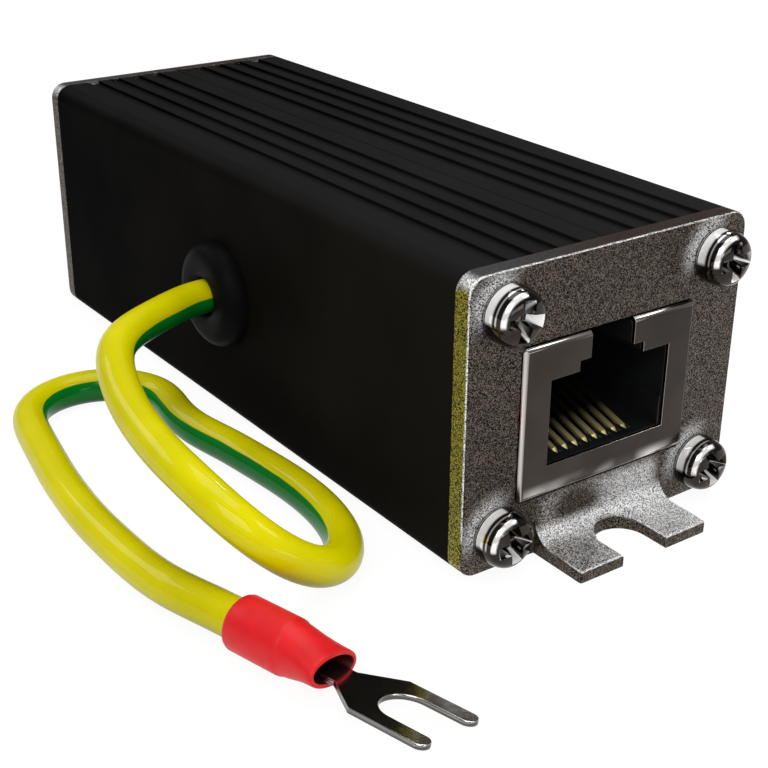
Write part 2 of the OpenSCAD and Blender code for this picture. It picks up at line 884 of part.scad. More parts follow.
// Crimp barrel, tongue and fork in one piece of tinned copper
module fork_terminal() {
    color([0.7, 0.7, 0.7])
        at_terminal() {
            difference() {
                across_x((sleeve_stop + barrel_end) / 2, barrel_end - sleeve_stop)
                    circle(barrel_r);
                across_x((sleeve_stop + core_end) / 2, core_end - sleeve_stop + 0.1)
                    circle(core_d / 2 + bore_gap);
            }
            translate([0, 0, tongue_z - fork_t / 2])
                linear_extrude(fork_t)
                    fork_outline();
        }
}

housing();
at_end(false) end_plate();  // front_plate
at_end(true) end_plate();  // rear_plate
at_end(false) plate_screws();  // front_screws
at_end(true) plate_screws();  // rear_screws
circuit_board();
at_jack(false) jack_shield();  // front_jack_shield
at_jack(true) jack_shield();  // rear_jack_shield
at_jack(false) jack_body();  // front_jack_body
at_jack(true) jack_body();  // rear_jack_body
at_jack(false) jack_contacts();  // front_jack_contacts
at_jack(true) jack_contacts();  // rear_jack_contacts
gas_tube(1);  // gas_tube_1
gas_tube(2);  // gas_tube_2
gas_tube(3);  // gas_tube_3
gas_tube(4);  // gas_tube_4
diode_array(-1);  // diode_array_1
diode_array(1);  // diode_array_2
earth_post();
grommet();
earth_wire();
board_end_core();
terminal_end_core();
terminal_sleeve();
fork_terminal();
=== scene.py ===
# %% [markdown]
# # An in-line surge protector for a network cable
#
# The object is a small fluted aluminium case with a screwed plate and a shielded
# socket at each end, and a green and yellow earth wire with a fork terminal.
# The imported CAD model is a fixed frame. Each cell below makes one piece in
# Blender, in the same place as the CAD says, or gives a CAD piece its finish.

# %% The frame
import math

import bpy
from mathutils import Matrix, Vector


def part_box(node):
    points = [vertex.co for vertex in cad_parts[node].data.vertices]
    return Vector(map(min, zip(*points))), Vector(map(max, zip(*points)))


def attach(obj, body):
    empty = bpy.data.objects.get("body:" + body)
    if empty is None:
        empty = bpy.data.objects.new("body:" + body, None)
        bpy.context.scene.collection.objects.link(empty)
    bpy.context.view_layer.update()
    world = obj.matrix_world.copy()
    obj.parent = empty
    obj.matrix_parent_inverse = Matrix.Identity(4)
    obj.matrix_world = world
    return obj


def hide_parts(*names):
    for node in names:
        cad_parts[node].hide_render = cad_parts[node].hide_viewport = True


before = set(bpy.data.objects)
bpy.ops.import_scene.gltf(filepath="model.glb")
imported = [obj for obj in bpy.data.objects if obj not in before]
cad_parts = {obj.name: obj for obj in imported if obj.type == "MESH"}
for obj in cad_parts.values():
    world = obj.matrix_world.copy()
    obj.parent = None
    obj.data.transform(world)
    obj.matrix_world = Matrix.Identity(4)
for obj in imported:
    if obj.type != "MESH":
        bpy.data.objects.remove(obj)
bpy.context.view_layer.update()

MM = 0.001

# %% [markdown]
# ## The camera
#
# The photograph is taken from the front left and a little above, with a fairly
# short lens close to the object, so the near corner of the plate looks large.
# A camera could be moved by hand until the edges meet, but here its place was
# solved from the corners of the plates, so that all edges meet at once.

# %% The camera
lens = bpy.data.cameras.new("camera")
lens.lens = 66.75
lens.sensor_width = 36
lens.clip_start = 0.005
lens.clip_end = 20
camera = bpy.data.objects.new("camera", lens)
camera.location = (-0.06984, -0.10272, 0.05703)
# In radians: 24.9 degrees down, rolled by 0.4 and turned 35.5 degrees from the front
camera.rotation_euler = (math.pi / 2 - 0.4344, -0.0063, -0.6200)
bpy.context.scene.collection.objects.link(camera)
bpy.context.scene.camera = camera
print("camera", [round(v, 4) for v in camera.location], "lens", lens.lens)

# %% [markdown]
# ## Small helpers
#
# Every piece below is selected, shaped in edit mode and given a finish in the
# same way, so these few steps are written once. Colours are written as the eye
# reads them, in hex, and turned into the linear numbers that a shader wants.

# %% Selecting and editing
def only(piece):
    """Leaves edit mode, deselects everything and makes this piece the active one."""
    if bpy.context.object and bpy.context.object.mode != "OBJECT":
        bpy.ops.object.mode_set(mode="OBJECT")
    bpy.ops.object.select_all(action="DESELECT")
    if piece:
        piece.select_set(True)
        bpy.context.view_layer.objects.active = piece


def edit(piece, mode="FACE", every=False):
    """Opens a piece in edit mode with nothing selected, or everything."""
    only(piece)
    bpy.ops.object.mode_set(mode="EDIT")
    bpy.ops.mesh.select_mode(type=mode)
    bpy.ops.mesh.select_all(action="SELECT" if every else "DESELECT")


def pick(piece, kind, test):
    """Selects the faces, edges or vertices for which the test holds, and opens the piece again."""
    bpy.ops.object.mode_set(mode="OBJECT")
    for item in getattr(piece.data, kind):
        item.select = bool(test(item))
    bpy.ops.object.mode_set(mode="EDIT")


def modify(piece, kind, **settings):
    """Adds a modifier and applies it."""
    only(piece)
    modifier = piece.modifiers.new(kind.lower(), kind)
    for name, value in settings.items():
        setattr(modifier, name, value)
    bpy.ops.object.modifier_apply(modifier=modifier.name)


def settle(piece):
    """Puts a piece's place, turn and size into its mesh."""
    only(piece)
    bpy.ops.object.transform_apply(location=True, rotation=True, scale=True)
    return piece


def smooth(piece, angle=35):
    """Smooth shading that keeps edges sharper than the angle, and flat faces flat."""
    only(piece)
    bpy.ops.object.shade_smooth_by_angle(angle=math.radians(angle))
    modify(piece, "WEIGHTED_NORMAL", keep_sharp=True, weight=100)


def stands_for(piece, node):
    """The piece is shown in place of a CAD node. Nothing in this object moves."""
    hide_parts(node)
    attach(piece, "root")


print("helpers for shapes are ready")

# %% Colours and shader nodes
def colour(hex_code):
    """A hex colour as the eye reads it, in the linear numbers that a shader wants."""
    parts = [int(hex_code[i:i + 2], 16) / 255 for i in (1, 3, 5)]
    linear = [p / 12.92 if p <= 0.04045 else ((p + 0.055) / 1.055) ** 2.4 for p in parts]
    return (*linear, 1)


def add(material, kind, links=None, **settings):
    """Adds a node with its settings; links gives each input a value or another node's output."""
    node = material.node_tree.nodes.new("ShaderNode" + kind)
    for name, value in settings.items():
        setattr(node, name, value)
    for name, value in (links or {}).items():
        if isinstance(value, bpy.types.NodeSocket):
            material.node_tree.links.new(value, node.inputs[name])
        else:
            node.inputs[name].default_value = value
    return node


def finish_named(name, values):
    """A material with one main shader, and the constant values on the shader's own sockets."""
    material = bpy.data.materials.new(name)
    material.use_nodes = True
    shader = material.node_tree.nodes["Principled BSDF"]
    for socket, value in values.items():
        shader.inputs[socket].default_value = value
    return material, shader


def feed(shader, socket, value):
    """Links a node's output to a socket of the main shader."""
    shader.id_data.links.new(value, shader.inputs[socket])


def wear(material, slot, *pieces):
    """Gives pieces their material; the slot is not used."""
    for piece in pieces:
        piece.data.materials.clear()
        piece.data.materials.append(material)


print("helpers for materials are ready")

# %% Numbers and directions in a shader
def math_node(material, operation, *values):
    """One arithmetic step on numbers or other nodes' outputs."""
    return add(material, "Math", dict(enumerate(values)), operation=operation).outputs[0]


def product(material, first, *others):
    """All the values multiplied."""
    for other in others:
        first = math_node(material, "MULTIPLY", first, other)
    return first


def without(material, value):
    """1 where the value is 0, and 0 where it is 1."""
    return math_node(material, "SUBTRACT", 1.0, value)


def vector_node(material, operation, *values):
    """One step on places or directions; a length and a dot product are numbers."""
    outputs = add(material, "VectorMath", dict(enumerate(values)), operation=operation).outputs
    return outputs["Value" if operation in ("LENGTH", "DOT_PRODUCT") else "Vector"]


def place_on(material):
    """The point's place in the object's own frame."""
    return add(material, "TexCoord").outputs["Object"]


def apart(material, vector):
    """The three numbers of a place or a direction."""
    return list(add(material, "SeparateXYZ", {0: vector}).outputs)


def facing(material):
    """The surface's direction in the object's own frame: three numbers without sign, and its Z with sign."""
    way = apart(material, add(material, "TexCoord").outputs["Normal"])
    return [math_node(material, "ABSOLUTE", part) for part in way] + [way[2]]


print("helpers for numbers are ready")

# %% Patterns in a shader
def ramp(material, value, stops, ease="LINEAR"):
    """A colour ramp; each stop is a place and a hex colour or a grey."""
    node = add(material, "ValToRGB", {"Fac": value})
    node.color_ramp.interpolation = ease
    elements = node.color_ramp.elements
    while len(elements) < len(stops):
        elements.new(0.5)
    for element, (place, shade) in zip(elements, stops):
        element.position = place
        element.color = colour(shade) if isinstance(shade, str) else (shade, shade, shade, 1)
    return node.outputs["Color"]


def rise(material, value, start, end, ease="LINEAR"):
    """0 up to the start and 1 from the end on."""
    return ramp(material, value, [(start, 0.0), (end, 1.0)], ease)


def fall(material, value, start, end, ease="LINEAR"):
    """1 up to the start and 0 from the end on."""
    return ramp(material, value, [(start, 1.0), (end, 0.0)], ease)


def blend(material, factor, first, second, how="MIX"):
    """Mixes two colours; each is a hex colour or another node's output."""
    links = {0: factor}
    for socket, value in ((6, first), (7, second)):
        links[socket] = colour(value) if isinstance(value, str) else value
    return add(material, "Mix", links, data_type="RGBA", blend_type=how).outputs[2]


def noise(material, scale, detail, place=None):
    """Soft random values over the surface."""
    place = place_on(material) if place is None else place
    return add(material, "TexNoise", {"Vector": place, "Scale": scale, "Detail": detail}).outputs["Fac"]


def drawn_out(material, scales):
    """Soft random lines: the noise is fine across them and long along them."""
    stretched = add(material, "Mapping", {"Vector": place_on(material), "Scale": scales}).outputs[0]
    return noise(material, 1.0, 2.0, stretched)


def cloudy(material, scale, detail, dark, light):
    """A soft noise, and a colour that drifts with it between two shades."""
    cloud = noise(material, scale, detail)
    return cloud, ramp(material, cloud, [(0.3, dark), (0.7, light)])


def bends(material):
    """1 on round edges and bends, 0 on faces that lie square to X, Y or Z."""
    x, y, z, _ = facing(material)
    square = math_node(material, "MAXIMUM", math_node(material, "MAXIMUM", x, y), z)
    return rise(material, without(material, square), 0.02, 0.2)


def bump(material, shader, height, depth, strength=1.0, below=None):
    """Feeds a height into the shader's normal, depth in metres, over an earlier bump if one is given."""
    links = {"Height": height, "Strength": strength, "Distance": depth}
    if below:
        links["Normal"] = below
    raised = add(material, "Bump", links).outputs["Normal"]
    feed(shader, "Normal", raised)
    return raised


print("helpers for patterns are ready")

# %% [markdown]
# ## Floor, lamps and sky
#
# The photograph is a product picture on plain white. The floor is one large
# disc in near white. What the camera, a mirror or glass sees of it is lifted
# towards white, while the object's soft shadow stays on it. Six soft lamps and
# a pale sky light the object so that a colour looks about as it is written.
# Fewer and harder lamps would be simpler, but the bright plates and screws
# mirror each lamp, so their sizes and places are part of how the metal looks.

# %% The floor
FLOOR_LIFT, FLOOR_GLOW = 0.88, 1.05
bpy.ops.object.select_all(action="DESELECT")
bpy.ops.mesh.primitive_circle_add(vertices=96, radius=3, fill_type="NGON")
floor = bpy.context.object
floor.name = "floor"

paper, paper_shader = finish_named("white_paper", {
    "Base Color": (0.85, 0.85, 0.85, 1), "Roughness": 0.9, "Specular IOR Level": 0.0})
rays = add(paper, "LightPath").outputs
seen = math_node(paper, "MAXIMUM", rays["Is Camera Ray"], rays["Is Glossy Ray"])
seen = math_node(paper, "MAXIMUM", seen, rays["Is Transmission Ray"])
glow = add(paper, "Emission", {"Color": (1, 1, 1, 1), "Strength": FLOOR_GLOW})
lifted = add(paper, "MixShader", {
    0: product(paper, seen, FLOOR_LIFT), 1: paper_shader.outputs[0], 2: glow.outputs[0]})
feed(paper.node_tree.nodes["Material Output"], "Surface", lifted.outputs[0])
floor.data.materials.append(paper)
print("floor", floor.name, paper.name)

# %% Lamps and sky
AIM = Vector((0, 0, 0.01))
# Each lamp's place, width and height in metres and its power in watts
LAMPS = {
    "key_lamp": ((-0.34, -0.34, 0.42), (0.40, 0.34), 2.0),
    "top_lamp": ((0.06, 0.04, 0.50), (0.36, 0.36), 1.35),
    "spark_lamp": ((0.40, 0.22, 0.46), (0.06, 0.06), 0.35),
    "right_lamp": ((0.30, -0.26, 0.44), (0.20, 0.16), 0.6),
    "back_lamp": ((-0.24, 0.42, 0.34), (0.30, 0.16), 0.5),
    "front_lamp": ((0.06, -0.53, 0.09), (0.34, 0.10), 0.35),
}
for name, (place, (width, height), power) in LAMPS.items():
    light = bpy.data.lights.new(name, "AREA")
    light.shape = "RECTANGLE"
    light.size, light.size_y = width, height
    light.energy = power
    lamp = bpy.data.objects.new(name, light)
    lamp.location = place
    lamp.rotation_euler = (AIM - Vector(place)).to_track_quat("-Z", "Y").to_euler()
    bpy.context.scene.collection.objects.link(lamp)

sky = bpy.data.worlds.new("pale_sky")
sky.use_nodes = True
sky.node_tree.nodes["Background"].inputs["Color"].default_value = (0.24, 0.24, 0.245, 1)
sky.node_tree.nodes["Background"].inputs["Strength"].default_value = 1.0
bpy.context.scene.world = sky
bpy.context.scene.view_settings.view_transform = "Standard"
print("lamps:", list(LAMPS), "sky:", sky.name)

# %% [markdown]
# ## The earth wire
#
# A stranded copper wire in a glossy yellow sleeve with a green stripe. It
# leaves the grommet level, loops in front of the case, comes back along the
# floor, loops behind and runs forward to its terminal. A curve with a round
# bevel would do for the shape, but the stripe has to keep its place round the
# wire, so a tube is swept by hand along a smooth curve through the same points
# as in the CAD source, and its own map says how far round and along each
# corner lies.

# %% The wire's line
FACE_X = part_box("housing")[0].x / MM
HOLE_Z, LYING, SLEEVE_Z = 11.8, 1.5, 2.05
ROUTE_FROM_FACE = [
    (4, 0, HOLE_Z), (0.5, 0, HOLE_Z), (-3, 0.3, HOLE_Z), (-6.9, -1.5, HOLE_Z),
    (-10.3, -3.2, HOLE_Z), (-13.1, -5.8, 11.9), (-14.7, -9.3, 11.3), (-15.6, -13, 10.4),
    (-16.1, -16.7, 9.9), (-16.5, -20.5, 9.7), (-16.5, -24.4, 9.4), (-15.8, -28, 8.2),
    (-13.9, -30.7, 6), (-10.9, -31.4, 3.6), (-7.6, -29.9, 2.1), (-5.1, -26.9, LYING),
    (-3.9, -23.1, LYING), (-3.5, -19.3, LYING), (-3.6, -15.4, LYING), (-4, -11.6, LYING),
    (-4.4, -7.7, LYING), (-5.2, -3.9, LYING), (-5.1, -0.1, LYING), (-4, 4, LYING),
    (-5.6, 7.8, LYING), (-9.1, 10, LYING), (-13.1, 9.7, LYING), (-16.2, 7.1, LYING),
    (-17.1, 2.7, LYING), (-17.8, -1.2, LYING), (-18.5, -5.1, LYING), (-19, -9.1, LYING),
    (-19.3, -13.1, LYING), (-19.3, -17.1, LYING), (-19.2, -21, LYING), (-19, -25.1, 1.85),
    (-17.9, -29.1, SLEEVE_Z), (-17.11, -31.98, SLEEVE_Z), (-16.33, -34.9, SLEEVE_Z),
]
ROUTE = [Vector((FACE_X + x, y, z)) * MM for x, y, z in ROUTE_FROM_FACE]


def smooth_line(points, steps):
    """A cubic spline that eases between the points and keeps the two ends."""
    ends = [2 * points[0] - points[1], *points, 2 * points[-1] - points[-2]]
    line = []
    for i in range(1, len(ends) - 2):
        for step in range(steps):
            t = step / steps
            weights = ((1 - t) ** 3, 3 * t ** 3 - 6 * t ** 2 + 4,
                       -3 * t ** 3 + 3 * t ** 2 + 3 * t + 1, t ** 3)
            line.append(sum((w * p for w, p in zip(weights, ends[i - 1:i + 3])), Vector()) / 6)
    line.append(points[-1].copy())
    return line


wire_line = smooth_line(ROUTE, 8)
wire_reach = [0.0]
for here, there in zip(wire_line, wire_line[1:]):
    wire_reach.append(wire_reach[-1] + (there - here).length)
print("wire length in mm:", round(wire_reach[-1] / MM, 1), "points:", len(wire_line))

# %% The wire's rings of corners
WIRE_D = 3 * MM
SIDES = 40
# The stripe turns up round the wire over the first strand, as the wire was bent
STRIPE_TURN, TURN_START, TURN_LENGTH = math.radians(28), 20 * MM, 35 * MM


def eased(t):
    """0 to 1, slow at both ends."""
    t = min(max(t, 0), 1)
    return t * t * (3 - 2 * t)


last = len(wire_line) - 1
corners = []
for i, centre in enumerate(wire_line):
    heading = (wire_line[min(i + 1, last)] - wire_line[max(i - 1, 0)]).normalized()
    left = Vector((0, 0, 1)).cross(heading).normalized()
    up = heading.cross(left)
    turn = STRIPE_TURN * eased((wire_reach[i] - TURN_START) / TURN_LENGTH)
    for k in range(SIDES):
        angle = 2 * math.pi * k / SIDES + turn
        corners.append(centre + WIRE_D / 2 * (math.cos(angle) * left + math.sin(angle) * up))
print("wire corners:", len(corners))

# %% The wire's faces and their map
MAP_UNIT = 20 * MM
faces, uvs = [], []
for i in range(last):
    low, high = wire_reach[i] / MAP_UNIT, wire_reach[i + 1] / MAP_UNIT
    for k in range(SIDES):
        n = (k + 1) % SIDES
        faces.append((i * SIDES + k, (i + 1) * SIDES + k, (i + 1) * SIDES + n, i * SIDES + n))
        uvs += [(k / SIDES, low), (k / SIDES, high), ((k + 1) / SIDES, high), ((k + 1) / SIDES, low)]
# The two cut ends
faces.append(tuple(range(SIDES)))
faces.append(tuple(last * SIDES + k for k in reversed(range(SIDES))))
uvs += [(0.5, 0)] * SIDES + [(0.5, wire_reach[-1] / MAP_UNIT)] * SIDES

wire_mesh = bpy.data.meshes.new("earth_wire_insulation")
wire_mesh.from_pydata(corners, [], faces)
wire_map = wire_mesh.uv_layers.new(name="round_and_along")
for loop, uv in zip(wire_map.data, uvs):
    loop.uv = uv
wire = bpy.data.objects.new("earth_wire_insulation", wire_mesh)
bpy.context.scene.collection.objects.link(wire)
only(wire)
bpy.ops.object.shade_smooth_by_angle(angle=math.radians(35))
stands_for(wire, "earth_wire")
print("wire faces:", len(wire_mesh.polygons))

# %% Yellow and green insulation
pvc, pvc_shader = finish_named("glossy_striped_pvc", {
    "Roughness": 0.3, "Specular IOR Level": 0.05, "Coat Weight": 0.22, "Coat Roughness": 0.02})
round_u, _, _ = apart(pvc, add(pvc, "UVMap", uv_map="round_and_along").outputs["UV"])
# The stripe's edge wanders a little, as two colours do that are pressed out together
WANDER = 0.018
wander = math_node(pvc, "SUBTRACT", noise(pvc, 260.0, 2.0), 0.5)
round_u = math_node(pvc, "MULTIPLY_ADD", wander, WANDER, round_u)
stripe = ramp(pvc, round_u, [(0.0, 1.0), (0.030, 1.0), (0.036, 0.0), (0.697, 0.0), (0.703, 1.0)])
# Both colours vary softly along the wire
tone, yellow = cloudy(pvc, 120.0, 3.0, "#BCB400", "#D1C800")
green = ramp(pvc, tone, [(0.3, "#00641C"), (0.7, "#007A26")])
both = blend(pvc, stripe, yellow, green)
# The underside is painted darker, as shade that falls under the wire
downward = math_node(pvc, "MULTIPLY_ADD", facing(pvc)[3], 0.5, 0.5)
painted_underside_shade = ramp(pvc, downward, [(0.08, 0.75), (0.5, 0.0)], "EASE")
feed(pvc_shader, "Base Color", blend(pvc, painted_underside_shade, both, (0.3, 0.3, 0.1, 1), "MULTIPLY"))
# Faint waves in the skin bend the long highlights
bump(pvc, pvc_shader, noise(pvc, 420.0, 2.0), 0.00004, 0.5)
wear(pvc, "wire", wire)
print("wire finish:", pvc.name)

# %% [markdown]
# ## Turned and moulded round pieces
#
# Sleeve, grommet and screws are all round about one line. A profile could be
# spun, but a circle that is extruded and resized from section to section also
# gives the sleeve's oval mouth, and it leaves clean rings of faces, so this one
# way makes them all.

# %% Rings extruded along X
def in_order(piece):
    """Numbers a new piece's corners and faces by their places, because extruding and joining leave them
    in an order that changes from run to run, and later cuts and bevels would change with it."""
    old = piece.data
    spots = [v.co.copy() for v in old.vertices]
    order = sorted(range(len(spots)), key=lambda i: tuple(spots[i]))
    number = {was: now for now, was in enumerate(order)}
    faces = []
    for face in old.polygons:
        ring = [number[i] for i in face.vertices]
        first = ring.index(min(ring))
        faces.append(tuple(ring[first:] + ring[:first]))
    piece.data = bpy.data.meshes.new("ordered")
    piece.data.from_pydata([spots[i] for i in order], [], sorted(faces))
    bpy.data.meshes.remove(old)
    piece.data.name = piece.name


def ringed(name, sections, sides, closed=True):
    """Extrudes a circle along X through sections of place, half width and half height, in mm.
    The last ring is joined to the first, or else both ends are filled."""
    only(None)
    x, w, h = sections[0]
    bpy.ops.mesh.primitive_circle_add(vertices=sides, radius=1, rotation=(0, math.pi / 2, 0))
    piece = bpy.context.object
    piece.name = piece.data.name = name
    settle(piece)
    edit(piece, "EDGE", every=True)
    bpy.ops.transform.resize(value=(1, w * MM, h * MM), center_override=(0, 0, 0))
    bpy.ops.transform.translate(value=(x * MM, 0, 0))
    for (x0, w0, h0), (x1, w1, h1) in zip(sections, sections[1:]):
        bpy.ops.mesh.extrude_region_move(TRANSFORM_OT_translate={"value": ((x1 - x0) * MM, 0, 0)})
        bpy.ops.transform.resize(value=(1, w1 / w0, h1 / h0), center_override=(x1 * MM, 0, 0))
    bpy.ops.mesh.select_all(action="DESELECT")
    bpy.ops.mesh.select_non_manifold()
    if closed:
        bpy.ops.mesh.bridge_edge_loops()
    else:
        bpy.ops.mesh.edge_face_add()
    bpy.ops.mesh.select_all(action="SELECT")
    bpy.ops.mesh.normals_make_consistent(inside=False)
    bpy.ops.object.mode_set(mode="OBJECT")
    in_order(piece)
    return piece


def stand(piece, place, turn):
    """Turns a piece that was made along X and carries it to its place."""
    piece.matrix_world = Matrix.Translation(place) @ turn
    return settle(piece)


print("helpers for round pieces are ready")

# %% [markdown]
# ### The red sleeve of the terminal
#
# On the real part a soft plastic sleeve covers the crimp. It is round where it
# grips the wire, steps in and then flattens to an oval mouth where the tongue
# comes out. Its satin skin is a little cloudy.

# %% The sleeve
# Each section's place along the sleeve, half width and half height, in mm
SLEEVE_OUTSIDE = [
    (0.0, 1.8, 1.8), (0.06, 1.97, 1.97), (0.25, 2.05, 2.05), (2.0, 2.05, 2.05), (4.35, 2.05, 2.05),
    (4.6, 2.03, 2.03), (4.75, 1.96, 1.96), (4.85, 1.93, 1.93), (5.5, 1.93, 1.82), (6.2, 1.98, 1.64),
    (6.9, 2.1, 1.47), (7.6, 2.25, 1.33), (8.05, 2.34, 1.26), (8.2, 2.33, 1.24), (8.28, 2.26, 1.17),
]
SLEEVE_INSIDE = [
    (8.3, 2.15, 1.05), (8.27, 2.0, 0.92), (8.1, 1.92, 0.84), (7.4, 1.9, 0.86), (6.3, 1.32, 1.3),
    (6.1, 1.31, 1.31), (3.3, 1.31, 1.31), (3.25, 1.55, 1.55), (0.1, 1.55, 1.55), (0.0, 1.62, 1.62),
]
GRIP, MOUTH = 3 * MM, 7.4 * MM
end_way = (ROUTE[-1] - ROUTE[-2]).normalized()
sleeve_at = ROUTE[-1] - GRIP * end_way
# The whole terminal is turned a little about its own axis, as the wire holds it
roll = Matrix.Rotation(math.radians(-14), 4, "X")
sleeve_turn = Matrix.Rotation(math.atan2(end_way.y, end_way.x), 4, "Z") @ roll
sleeve = ringed("terminal_sleeve_soft", SLEEVE_OUTSIDE + SLEEVE_INSIDE, 64)
stand(sleeve, sleeve_at, sleeve_turn)
smooth(sleeve, 50)
stands_for(sleeve, "terminal_sleeve")
print("sleeve at", [round(v / MM, 2) for v in sleeve_at])

# %% Red vinyl
red, red_shader = finish_named("soft_red_vinyl", {
    "Roughness": 0.45, "Specular IOR Level": 0.25, "Subsurface Weight": 0.05, "Subsurface Scale": 0.0006})
_, skin = cloudy(red, 500.0, 4.0, "#C81218", "#DA1C22")
# Inside its mouth, where a face looks at the sleeve's own middle, it is painted dark as shade
from_mouth = vector_node(red, "SUBTRACT", place_on(red), tuple(sleeve_at + MOUTH * end_way))
look = vector_node(red, "DOT_PRODUCT", from_mouth, add(red, "TexCoord").outputs["Normal"])
feed(red_shader, "Base Color", blend(red, math_node(red, "LESS_THAN", look, 0.0), skin, "#3C0408"))
# Fine moulding grain keeps the gloss soft
bump(red, red_shader, noise(red, 5000.0, 2.0), 0.00001, 0.5)
wear(red, "sleeve", sleeve)
print("sleeve finish:", red.name)

# %% [markdown]
# ## Rounding the edges of a CAD piece
#
# The plates, sockets, fork and case have exact shapes from the CAD source, and
# what they lack is the tiny round on each edge that catches the light. Making
# them again would only risk their fit, so a copy of each mesh is merged, its
# flat faces are joined, and a narrow bevel is put on its sharp edges.

# %% Softened copies
WIDER_EDGE = 0.22 * MM


def soften(node, name, width, wider=None):
    """A copy of a CAD node with its sharp edges rounded, width in mm, that stands for the node.
    Sharp edges with both ends where the test "wider" holds get a wider bevel first."""
    piece = bpy.data.objects.new(name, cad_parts[node].data.copy())
    piece.data.name = name
    bpy.context.scene.collection.objects.link(piece)
    edit(piece, "VERT", every=True)
    bpy.ops.mesh.remove_doubles(threshold=0.000002)
    bpy.ops.mesh.dissolve_limited(angle_limit=math.radians(0.4))
    if wider:
        edit(piece, "EDGE")
        bpy.ops.mesh.edges_select_sharp(sharpness=math.radians(60))
        spots = [v.co for v in piece.data.vertices]
        pick(piece, "edges", lambda e: e.select and all(wider(spots[k]) for k in e.vertices))
        bpy.ops.mesh.bevel(offset=WIDER_EDGE, segments=3, clamp_overlap=False)
    bpy.ops.object.mode_set(mode="OBJECT")
    modify(piece, "BEVEL", width=width * MM, segments=2, limit_method="ANGLE",
           angle_limit=math.radians(30), use_clamp_overlap=True, harden_normals=False)
    smooth(piece)
    stands_for(piece, node)
    return piece


def soften_pair(node, ending, width, **more):
    """The softened copies of a piece at the front end and of its twin at the rear."""
    return [soften(f"{end}_{node}", f"{end}_{node}_{ending}", width, **more) for end in ("front", "rear")]


print("helpers for CAD pieces are ready")

# %% [markdown]
# ### The fork terminal
#
# It is stamped from tinned copper sheet: a narrow tongue comes out of the
# sleeve and flares to two prongs. The stamped edges are bright lines, and the
# flat mirrors the dark room except at the far prong, which catches a lamp.

# %% The fork
fork = soften("fork_terminal", "fork_terminal_tinned", 0.07)
tin, tin_shader = finish_named("bright_tin_plate", {"Metallic": 1.0, "Roughness": 0.16})
plating = ramp(tin, noise(tin, 300.0, 3.0), [(0.35, "#B0AEAA"), (0.65, "#CFCDC9")])
# The stamped sides are duller than the flats
side_on = fall(tin, facing(tin)[2], 0.2, 0.45)
feed(tin_shader, "Base Color", blend(tin, side_on, plating, "#5E5B57"))
# Shallow dips from stamping bend what the tin mirrors
bump(tin, tin_shader, noise(tin, 700.0, 2.0), 0.00004, 0.4)
wear(tin, "fork", fork)
print("fork:", fork.name, "faces:", len(fork.data.polygons))

# %% The strands
# The wire's bare ends sit in the barrel and in the post on the board
cores = [soften(node, node + "_strands", 0.1) for node in ("terminal_end_core", "board_end_core")]
copper, copper_shader = finish_named("bare_copper_strands", {"Metallic": 1.0, "Roughness": 0.3})
strands = add(copper, "TexWave", {"Vector": place_on(copper), "Scale": 900.0, "Distortion": 1.0},
              bands_direction="DIAGONAL").outputs["Fac"]
feed(copper_shader, "Base Color", ramp(copper, strands, [(0.2, "#8A4A2A"), (0.8, "#D98A5C")]))
bump(copper, copper_shader, strands, 0.0001, 0.6)
wear(copper, "core", *cores)
print("strands:", [core.name for core in cores])

# %% The wire's name
print("cord:", wire.name)

# %% [markdown]
# ## The rubber grommet
#
# A black bush protects the wire where it passes the wall: a thick outer flange
# with a well rounded edge, a neck in the wall and a thin inner flange. It is
# made like the sleeve, ring by ring, and stood against the case's left face.

# %% The grommet
FLANGE_ROUND = 1.5
# Place outward from the wall and radius, in mm: inner flange, neck, outer flange, rounded edge, hole
GROMMET = [(-2.4, 1.6), (-2.4, 3.7), (-2.3, 3.8), (-1.6, 3.8), (-1.5, 3.7), (-1.5, 3.0), (0, 3.0)]
GROMMET += [(0, 4.55), (0.03, 4.65), (0.12, 4.7), (0.5, 4.7)]
GROMMET += [(0.5 + FLANGE_ROUND * math.sin(a), 3.2 + FLANGE_ROUND * math.cos(a))
            for a in (0.2, 0.4, 0.6, 0.8, 1.0, 1.2, 1.4, 1.57)]
GROMMET += [(1.99, 2.6), (1.95, 2.1), (1.85, 1.85), (1.7, 1.7), (1.5, 1.62), (1.2, 1.6)]
grommet = ringed("grommet_rubber", [(x, r, r) for x, r in GROMMET], 72)
stand(grommet, Vector((FACE_X, 0, HOLE_Z)) * MM, Matrix.Rotation(math.pi, 4, "Z"))
smooth(grommet, 40)
stands_for(grommet, "grommet")

rubber, rubber_shader = finish_named("black_rubber", {"Roughness": 0.45, "Specular IOR Level": 0.02})
feed(rubber_shader, "Base Color", cloudy(rubber, 400.0, 4.0, "#0A0A0B", "#101011")[1])
bump(rubber, rubber_shader, noise(rubber, 6000.0, 2.0), 0.00001, 0.5)
wear(rubber, "grommet", grommet)
print("grommet", grommet.name, "faces:", len(grommet.data.polygons))

# %% [markdown]
# ## The case
#
# An extruded and black anodised aluminium profile. Its grooves could be cut
# into a box one by one, but the CAD source draws the whole profile and extrudes
# it, as the real maker does, so its mesh is only softened. Anodising leaves a
# matt, very dark skin with a faint grain along the extrusion.

# %% The case
case = soften("housing", "housing_anodised", 0.08)
anodised, anodised_shader = finish_named("black_anodised_aluminium", {"Roughness": 0.55})
